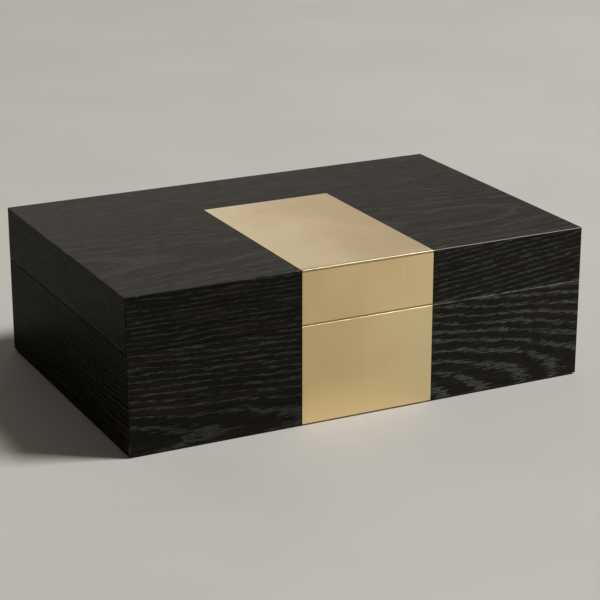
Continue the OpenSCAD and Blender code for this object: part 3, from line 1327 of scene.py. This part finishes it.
@dataclass
class Inlay:
    """Brass sheet let into the front of the base, and folded over the lid's front edge.

    Attributes:
        fold: Outer radius of the fold.
        arris: Radius of its long edges at the rims and at the bottom.
        burr: Radius of its cut side edges.
        tarnish: Colour of the shade painted beside the fold and along the split.
        rubbed: Colour over the fold and the rim edge, partly wear and partly painted to tone the
            lamp's highlight there.
    """

    fold: float = 0.3 * MM
    arris: float = 0.23 * MM
    burr: float = 0.22 * MM
    tarnish: Colour = (0.3, 0.19, 0.07)
    rubbed: Colour = (0.47, 0.42, 0.285)

    def lines(self) -> list[Line]:
        """Places the lines of painted shade and of wear with its painted highlight tone, measured
        up the front and over the fold.

        Returns:
            The lines.
        """
        low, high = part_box("lid_inlay")
        fold, foot = (low.y + high.z) / MM, (low.y + low.z) / MM
        rim = (low.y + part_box("base_inlay")[1].z) / MM
        return [
            # Painted shade: dark lines under and over the fold, and on the lid plate's foot above
            # the split.
            Line(start=fold - 1.5, end=fold - 0.3, share=0.75, colour=self.tarnish),
            Line(start=fold + 0.35, end=fold + 2.2, share=0.55, colour=self.tarnish),
            Line(start=foot + 0.05, end=foot + 0.65, share=0.85, colour=self.tarnish),
            # Painted highlight tone on the fold and on the base plate's rim edge, partly wear.
            Line(start=fold - 0.33, end=fold + 0.33, share=0.9, colour=self.rubbed),
            Line(start=rim - 0.3, end=rim + 0.05, share=0.8, colour=self.rubbed),
        ]

    def build(self) -> None:
        """Makes the two pieces and puts them in place."""
        finish = BrushedBrass("inlay_brass", Lie.OVER_FOLD, lines=self.lines()).material()
        low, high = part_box("base_inlay")
        thickness = high.y - low.y
        base = [(high.y, low.z), *self.foot(low)]
        base += [*arc(low.y + self.arris, high.z - self.arris, self.arris, 180, 90)]
        base += [(high.y, high.z)]
        self.bar("base_inlay", base, "base", finish)
        low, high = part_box("lid_inlay")
        back, under = low.y + thickness, high.z - thickness
        lid = [(back, low.z), *self.foot(low)]
        lid += [*arc(low.y + self.fold, high.z - self.fold, self.fold, 180, 90, facets=12)]
        lid += [(high.y, high.z), (high.y, under), (back, under)]
        self.bar("lid_inlay", lid, "lid", finish)

    def foot(self, low: Vector) -> Section:
        """Rounded edge at the foot of a piece with this lowest corner."""
        return arc(low.y + self.arris, low.z + self.arris, self.arris, 270, 180)

    def bar(self, node: str, section: Section, body: str, finish: bpy.types.Material) -> None:
        """Makes one piece, with its cut edges eased, and puts it in place.

        Args:
            node: Name of its node.
            section: Points of y and z, in turn round its section.
            body: The body that it rides on.
            finish: Its finish.
        """
        low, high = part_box(node)
        block = Block.drawn(section, low.x, high.x)
        block.round_edges(block.edges_at(X, low.x, high.x), self.burr, facets=3)
        piece = block.piece(f"{node}_sheet", finish)
        keep_flats_flat(piece)
        install(piece, node, body)


@dataclass
class Carcass:
    """Boards and splines under the veneer and the lining, finished as they are.

    Attributes:
        board: Finish of the boards.
        ply: Finish of the splines.
    """

    board: Fibreboard = Fibreboard(
        "core_board", Lie.ALONG_X_UP_Z, colour=(0.045, 0.036, 0.028), fleck=(0.02, 0.015, 0.012)
    )
    ply: Fibreboard = Fibreboard(
        "spline_plywood",
        Lie.ALONG_X_UP_Z,
        colour=(0.55, 0.42, 0.24),
        fleck=(0.3, 0.2, 0.1),
        layers=0.7,
    )

    def build(self) -> None:
        """Finishes the nodes."""
        board, ply = self.board.material(), self.ply.material()
        for body in HALVES:
            for side in Side:
                refinish(f"{body}_{side.word}_core", board)
            refinish(f"{body}_mitre_splines", ply)
        refinish("base_bottom_panel", board)
        refinish("lid_top_panel", board)


@dataclass
class Rims:
    """Veneer strips on the two rims, with the buffers that the lid rests on.

    Attributes:
        figure: The rings that show in the strips.
        rubber: Finish of the buffers.
        easing: Width by which the buffers' edges are eased.
    """

    figure: Figure = Figure(depth=20.0, ring=1.5, reach=200.0, wander=1.0)
    rubber: Rubber = Rubber("buffer_rubber", Lie.ALONG_X_ACROSS_Y)
    easing: float = 0.1 * MM

    def build(self) -> None:
        """Finishes the nodes."""
        for side in Side:
            oak = StainedOak(f"{side.word}_rim_oak", side.level_lie, self.figure).material()
            for body in HALVES:
                refinish(f"{body}_{side.word}_rim", oak)
        refinish("rim_buffers", self.rubber.material(), self.easing)


def taupe_suede(name: str, lie: Lie) -> Nap:
    """Taupe suede, with its nap laid one way."""
    return Nap(name, lie, colour=(0.13, 0.11, 0.09), brushed=(0.22, 0.19, 0.155))


@dataclass
class Lining:
    """Boards inside the walls, wrapped in suede and mitred at the corners.

    Attributes:
        lip: Radius of the edges at the rims.
        corner: Radius of the wrapped edges in the box's corners.
    """

    lip: float = 0.6 * MM
    corner: float = 0.3 * MM

    def build(self) -> None:
        """Makes the boards and puts them in place."""
        for side in Side:
            suede = taupe_suede(f"{side.word}_liner_suede", side.lie).material()
            for body in HALVES:
                node = f"{body}_{side.word}_liner"
                install(self.board(node, side, suede), node, body)

    def board(self, node: str, side: Side, suede: bpy.types.Material) -> bpy.types.Object:
        """Makes one board, drawn as the front one and then turned to its side.

        Args:
            node: Name of its node.
            side: The side.
            suede: Its finish.

        Returns:
            The board.
        """
        low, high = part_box(node)
        outer, inner = sorted(-abs(corner.dot(side.out)) for corner in (low, high))
        reach = max(abs(corner.dot(side.run)) for corner in (low, high))
        r = self.lip
        if node.startswith("base"):
            face, foot = self.lip_face(node, side)
            section = [(inner, low.z), (outer, low.z), (outer, foot), (face, foot)]
            section += arc(face + r, high.z - r, r, 180, 90) + arc(inner - r, high.z - r, r, 90, 0)
        else:
            section = [(outer, high.z), (inner, high.z)]
            section += arc(inner - r, low.z + r, r, 360, 270)
            section += arc(outer + r, low.z + r, r, 270, 180)
        block = Block.drawn(section, -reach, reach)
        for way in (-1, 1):
            block.saw((way * reach, outer, 0), (way, 1, 0))
        corners = [
            edge
            for edge in block.edges_at(Y, inner)
            if abs(edge.verts[0].co.x - edge.verts[1].co.x) < TINY
        ]
        block.round_edges(corners, self.corner, facets=3)
        block.turn(side)
        piece = block.piece(f"{node}_board", suede)
        keep_flats_flat(piece)
        return piece

    def lip_face(self, node: str, side: Side) -> tuple[float, float]:
        """Reads off a node where its lip stands back from the wall.

        Args:
            node: Name of the node.
            side: Its side.

        Returns:
            Place and foot of the lip's outer face, as y and z of the front board.
        """
        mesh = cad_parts[node].data
        points = [(-vertex.co.dot(side.out), vertex.co.z) for vertex in mesh.vertices]
        top = max(z for _, z in points)
        face = min(y for y, z in points if z > top - 2 * self.lip)
        return face, min(z for y, z in points if abs(y - face) < TINY)


@dataclass
class Pad:
    """Foam pad on a board, wrapped in suede.

    Attributes:
        node: The node that it takes the place of.
        body: The body that it rides on.
        suede: Its finish.
        up: 1 if its soft face is up, and -1 if it is down.
        flat: Share of its thickness that it has before it is stuffed.
        edge: Radius of its edges.
        crease: Angle in degrees above which its edges stay sharp.
        cell: Spacing of the cloth's points.
        pressure: Pressure of the stuffing.
        stretch: Share by which the cloth gives.
        steps: Number of steps of the simulation.
        quality: Number of parts that it takes each step in.
        loose: Share of the edges' radius, under the soft face, that swells with it.
    """

    node: str
    body: str
    suede: Nap
    up: int
    flat: float = 0.72
    edge: float = 1.0 * MM
    crease: float = 60.0
    cell: float = 4 * MM
    pressure: float = 4.0
    stretch: float = 0.012
    steps: int = 15
    quality: int = 5
    loose: float = 0.3

    def build(self) -> None:
        """Makes the pad and puts it in place."""
        low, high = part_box(self.node)
        block = self.slab(low, high)
        piece = block.piece(f"{self.node}_cushion", self.suede.material(), self.crease)
        self.stuff(piece, low, high)
        smooth = piece.modifiers.new("smooth", "SUBSURF")
        smooth.levels = smooth.render_levels = 1
        settle(piece)
        install(piece, self.node, self.body)

    def slab(self, low: Vector, high: Vector) -> Block:
        """Makes the pad before it is stuffed, with its faces divided for the cloth.

        Args:
            low: Lowest corner of the room that it may fill.
            high: The highest corner.

        Returns:
            The block.
        """
        thickness = self.flat * (high.z - low.z)
        if self.up > 0:
            corners = low, Vector((high.x, high.y, low.z + thickness))
        else:
            corners = Vector((low.x, low.y, high.z - thickness)), high
        block = Block.rounded(*corners, self.edge, facets=3)
        for axis in (X, Y):
            count = round((high[axis] - low[axis]) / self.cell)
            step = (high[axis] - low[axis]) / count
            block.score(axis, [low[axis] + step * i for i in range(1, count)])
        return block

    def stuff(self, piece: bpy.types.Object, low: Vector, high: Vector) -> None:
        """Swells the soft face by a cloth simulation, with its glued side held.

        Args:
            piece: The pad.
            low: Lowest corner of the room that it may fill.
            high: The highest corner.
        """
        glued = piece.vertex_groups.new(name="glued")
        heights = [vertex.co.z for vertex in piece.data.vertices]
        soft = max(heights) if self.up > 0 else min(heights)
        held = [i for i, z in enumerate(heights) if abs(z - soft) > self.loose * self.edge]
        glued.add(held, 1.0, "REPLACE")
        cloth = piece.modifiers.new("cloth", "CLOTH")
        cloth.settings.use_pressure = True
        cloth.settings.uniform_pressure_force = self.pressure
        cloth.settings.effector_weights.gravity = 0.0
        cloth.settings.vertex_group_mass = "glued"
        cloth.settings.quality = self.quality
        cloth.settings.shrink_min = -self.stretch
        cloth.collision_settings.use_collision = False
        scene = bpy.context.scene
        for step in range(1, self.steps + 1):
            scene.frame_set(step)
        settle(piece)
        scene.frame_set(1)
        room = high.z - soft if self.up > 0 else soft - low.z
        rises = [(vertex.co.z - soft) * self.up for vertex in piece.data.vertices]
        most = max(max(rises), TINY)
        for vertex, rise in zip(piece.data.vertices, rises):
            if rise > 0:
                vertex.co.z = soft + self.up * rise * min(1.0, room / most)
            vertex.co.x = min(max(vertex.co.x, low.x), high.x)
            vertex.co.y = min(max(vertex.co.y, low.y), high.y)


@dataclass
class Felt:
    """Felt glued under the base.

    Attributes:
        nap: Its finish.
        edge: Radius of its edges.
    """

    nap: Nap = Nap(
        "base_felt",
        Lie.ALONG_X_ACROSS_Y,
        colour=(0.008, 0.008, 0.0085),
        brushed=(0.02, 0.02, 0.021),
        fibre=0.5,
        relief=0.15,
    )
    edge: float = 0.3 * MM

    def build(self) -> None:
        """Makes the sheet and puts it in place."""
        node = "base_felt"
        low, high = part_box(node)
        block = Block.rounded(low, high, self.edge, facets=2)
        piece = block.piece(f"{node}_sheet", self.nap.material())
        install(piece, node, "base")


@dataclass
class Hinges:
    """Two brass stop hinges and their screws, finished as they are.

    Attributes:
        leaf: Finish of the leaves.
        screw: Finish of the pins and the screws.
        leaf_easing: Width by which the leaves' edges are eased.
        pin_easing: Width by which the pins' edges are eased.
        screw_easing: Width by which the screws' edges are eased.
    """

    leaf: SatinBrass = SatinBrass("hinge_brass", Lie.ALONG_X_UP_Z)
    screw: SatinBrass = SatinBrass("screw_brass", Lie.ALONG_X_UP_Z, roughness=0.2)
    leaf_easing: float = 0.12 * MM
    pin_easing: float = 0.08 * MM
    screw_easing: float = 0.05 * MM

    def build(self) -> None:
        """Finishes the nodes."""
        leaf, screw = self.leaf.material(), self.screw.material()
        for hand in HANDS:
            for body in HALVES:
                refinish(f"{hand}_hinge_{body}_leaf", leaf, self.leaf_easing)
            refinish(f"{hand}_hinge_pin", screw, self.pin_easing)
        for body in HALVES:
            refinish(f"{body}_hinge_screws", screw, self.screw_easing)


# ---------------------------------------------------------------------------------------- studio


def stand(thing: bpy.types.Object, at: Vector, back: Vector) -> None:
    """Stands a lamp or a camera in the studio.

    Args:
        thing: The lamp or the camera.
        at: Where it stands.
        back: Direction that its back is turned to.
    """
    thing.location = at
    thing.rotation_mode = "QUATERNION"
    thing.rotation_quaternion = back.to_track_quat("Z", "Y")
    bpy.context.scene.collection.objects.link(thing)


@dataclass(frozen=True)
class Softbox:
    """Square soft lamp that is aimed at the middle of the box.

    Attributes:
        name: Name of the lamp.
        towards: Direction in which it stands, seen from the box.
        distance: How far off it stands.
        side: Length of its sides.
        level: Light that it gives a level surface there, where 1 shows white as white.
    """

    name: str
    towards: tuple[float, float, float]
    distance: float
    side: float
    level: float

    def build(self) -> None:
        """Hangs the lamp."""
        way = Vector(self.towards).normalized()
        lamp = bpy.data.lights.new(self.name, "AREA")
        lamp.shape, lamp.size = "SQUARE", self.side
        lamp.energy = self.level * math.pi**2 * self.distance**2 / way.z
        stand(bpy.data.objects.new(self.name, lamp), way * self.distance, way)


@dataclass
class Studio:
    """Pale floor, soft light and camera.

    Attributes:
        paint: Finish of the floor.
        floor_radius: Radius of the floor.
        floor_sides: Number of sides that its round edge is drawn with.
        surround: Strength of the even light from all round.
        wall: Strength of the broad soft light off the wall behind the box.
        wall_towards: Direction of the middle of that wall.
        wall_edge: Cosine of the angle from there at which the wall's light has faded.
        glow: Colour of the light from all round and off the wall.
        lamp: The soft lamp.
        azimuth: Where the camera stands, in degrees to the right of the front.
        elevation: How far above level it stands, in degrees.
        distance: How far from its aim it stands.
        aim: The point that it looks at.
        lens: Focal length, in millimetres.
        film: Width of the film, in millimetres.
        seen: Nearest and furthest distance that the camera sees.
    """

    paint: FloorPaint = FloorPaint("studio_floor", Lie.ALONG_X_ACROSS_Y)
    floor_radius: float = 12.0
    floor_sides: int = 96
    surround: float = 0.05
    wall: float = 0.72
    wall_towards: tuple[float, float, float] = (0.0, 0.94, 0.31)
    wall_edge: float = 0.6
    glow: Colour = (1.0, 0.94, 0.86)
    lamp: Softbox = Softbox(
        "right_softbox", towards=(0.52, -0.27, 0.81), distance=6.0, side=1.4, level=0.86
    )
    azimuth: float = -26.573
    elevation: float = 18.870
    distance: float = 1.1711
    aim: tuple[float, float, float] = (0.00644, 0.0, 0.03759)
    lens: float = 119.25
    film: float = 36.0
    seen: tuple[float, float] = (0.05, 60.0)

    def build(self) -> None:
        """Sets the studio up."""
        self.lay_floor()
        self.light()
        self.lamp.build()
        self.set_camera()
        bpy.context.scene.view_settings.view_transform = "Standard"

    def lay_floor(self) -> None:
        """Lays the floor, a wide disc."""
        mesh = bmesh.new()
        bmesh.ops.create_circle(
            mesh, cap_ends=True, segments=self.floor_sides, radius=self.floor_radius
        )
        Block(mesh).piece("studio_floor", self.paint.material())

    def light(self) -> None:
        """Lights the studio from all round and off its wall.

        The camera sees the floor's colour behind everything instead.
        """
        world = bpy.data.worlds.new("studio_light")
        bpy.context.scene.world = world
        graph = Graph(world)
        way = graph.signal("ShaderNodeTexCoord", output="Generated")
        wall = Vector(self.wall_towards).normalized()
        facing = graph.signal(
            "ShaderNodeVectorMath", {0: way, 1: wall}, output="Value", operation="DOT_PRODUCT"
        )
        strength = facing.step(self.wall_edge, 1.0, self.surround, self.wall)
        glow = graph.signal(
            "ShaderNodeBackground", {"Color": (*self.glow, 1.0), "Strength": strength}
        )
        behind = graph.signal("ShaderNodeBackground", {"Color": (*self.paint.colour, 1.0)})
        seen = graph.signal("ShaderNodeLightPath", output="Is Camera Ray")
        choice = graph.signal("ShaderNodeMixShader", {0: seen, 1: glow, 2: behind})
        graph.node("ShaderNodeOutputWorld", {"Surface": choice})

    def set_camera(self) -> None:
        """Sets the camera up."""
        turn, lift = math.radians(self.azimuth), math.radians(self.elevation)
        level = math.cos(lift)
        back = Vector((math.sin(turn) * level, -math.cos(turn) * level, math.sin(lift)))
        data = bpy.data.cameras.new("camera")
        data.lens, data.sensor_width = self.lens, self.film
        data.clip_start, data.clip_end = self.seen
        camera = bpy.data.objects.new("camera", data)
        stand(camera, Vector(self.aim) + back * self.distance, back)
        bpy.context.scene.camera = camera


# ---------------------------------------------------------------------------------------- making


def oaks() -> dict[str, StainedOak]:
    """Chooses the veneers, each with its own figure.

    Returns:
        The finishes by the names of their sheets.
    """
    front, side, top = Lie.ALONG_X_UP_Z, Lie.ALONG_Y_UP_Z, Lie.ALONG_X_ACROSS_Y
    cathedral = Figure(
        heart=7.0, depth=18.0, ring=3.2, reach=60.0, wander=2.0, offset=0.35, early=0.4
    )
    arches = Figure(
        heart=-7.5, depth=28.0, ring=4.4, reach=24.0, slope=0.1, offset=0.88, early=0.48
    )
    right = Figure(heart=-10.0, depth=45.0, ring=2.6, reach=60.0, offset=3.3)
    back = Figure(heart=24.0, depth=60.0, ring=2.2, reach=-105.0, offset=1.7)
    left = Figure(heart=-20.0, depth=40.0, ring=2.4, reach=80.0)
    straight = Figure(ring=2.4, reach=300.0, wander=2.0, early=0.36)
    rising = Figure(ring=2.4, reach=400.0, slope=0.12, wander=2.0, early=0.45)
    wide = Figure(
        heart=-40.0, depth=300.0, ring=1.0, reach=76.0, wander=2.0, offset=0.7, early=0.34
    )
    brown = {"ground": (0.0072, 0.0062, 0.0036), "warm": (0.0145, 0.0096, 0.006)}
    sheets = [
        StainedOak("base_front_left_oak", front, cathedral, pore_share=0.8, lacquer=1.17),
        StainedOak("base_front_right_oak", front, arches, pore=(0.082, 0.087, 0.076), **brown),
        StainedOak("base_right_oak", side, right),
        StainedOak("base_back_oak", front, back),
        # Painted shade: the left sheets face away from the lamp and get weaker pores and gloss, so
        # they read darker.
        StainedOak("base_left_oak", side, left, pore_share=0.5, lacquer=1.065),
        StainedOak("lid_front_left_oak", front, straight, pore_share=0.6, lacquer=1.17),
        StainedOak("lid_front_right_oak", front, rising, **brown),
        StainedOak("lid_right_oak", side, replace(right, offset=3.8)),
        StainedOak("lid_back_oak", front, replace(back, offset=1.2)),
        # Painted shade: weaker pores and gloss, as on the base's left sheet.
        StainedOak("lid_left_oak", side, left, pore_share=0.7, lacquer=1.08),
        StainedOak(
            "lid_top_oak",
            top,
            wide,
            ground=(0.0072, 0.0058, 0.0036),
            warm=(0.02, 0.0125, 0.0075),
            pore=(0.052, 0.054, 0.043),
            pore_share=0.9,
            lacquer=1.17,
            roughness=0.42,
        ),
    ]
    return {sheet.name.removesuffix("_oak"): sheet for sheet in sheets}


def main() -> None:
    """Builds the studio and the box in order, piece by piece."""
    logging.basicConfig(level=logging.INFO, format="%(name)s: %(message)s")
    finishes = oaks()
    lid = Shell("lid", finishes)
    level = Lie.ALONG_X_ACROSS_Y
    parts = (
        Studio(),
        Shell("base", finishes),
        lid,
        LidTop(lid),
        Inlay(),
        Carcass(),
        Rims(),
        Lining(),
        Pad("base_floor_pad", "base", taupe_suede("floor_suede", level), up=1),
        Pad("lid_pad", "lid", taupe_suede("lid_suede", level), up=-1),
        Felt(),
        Hinges(),
    )
    for part in parts:
        part.build()
    bpy.context.view_layer.update()


if __name__ == "__main__":
    main()
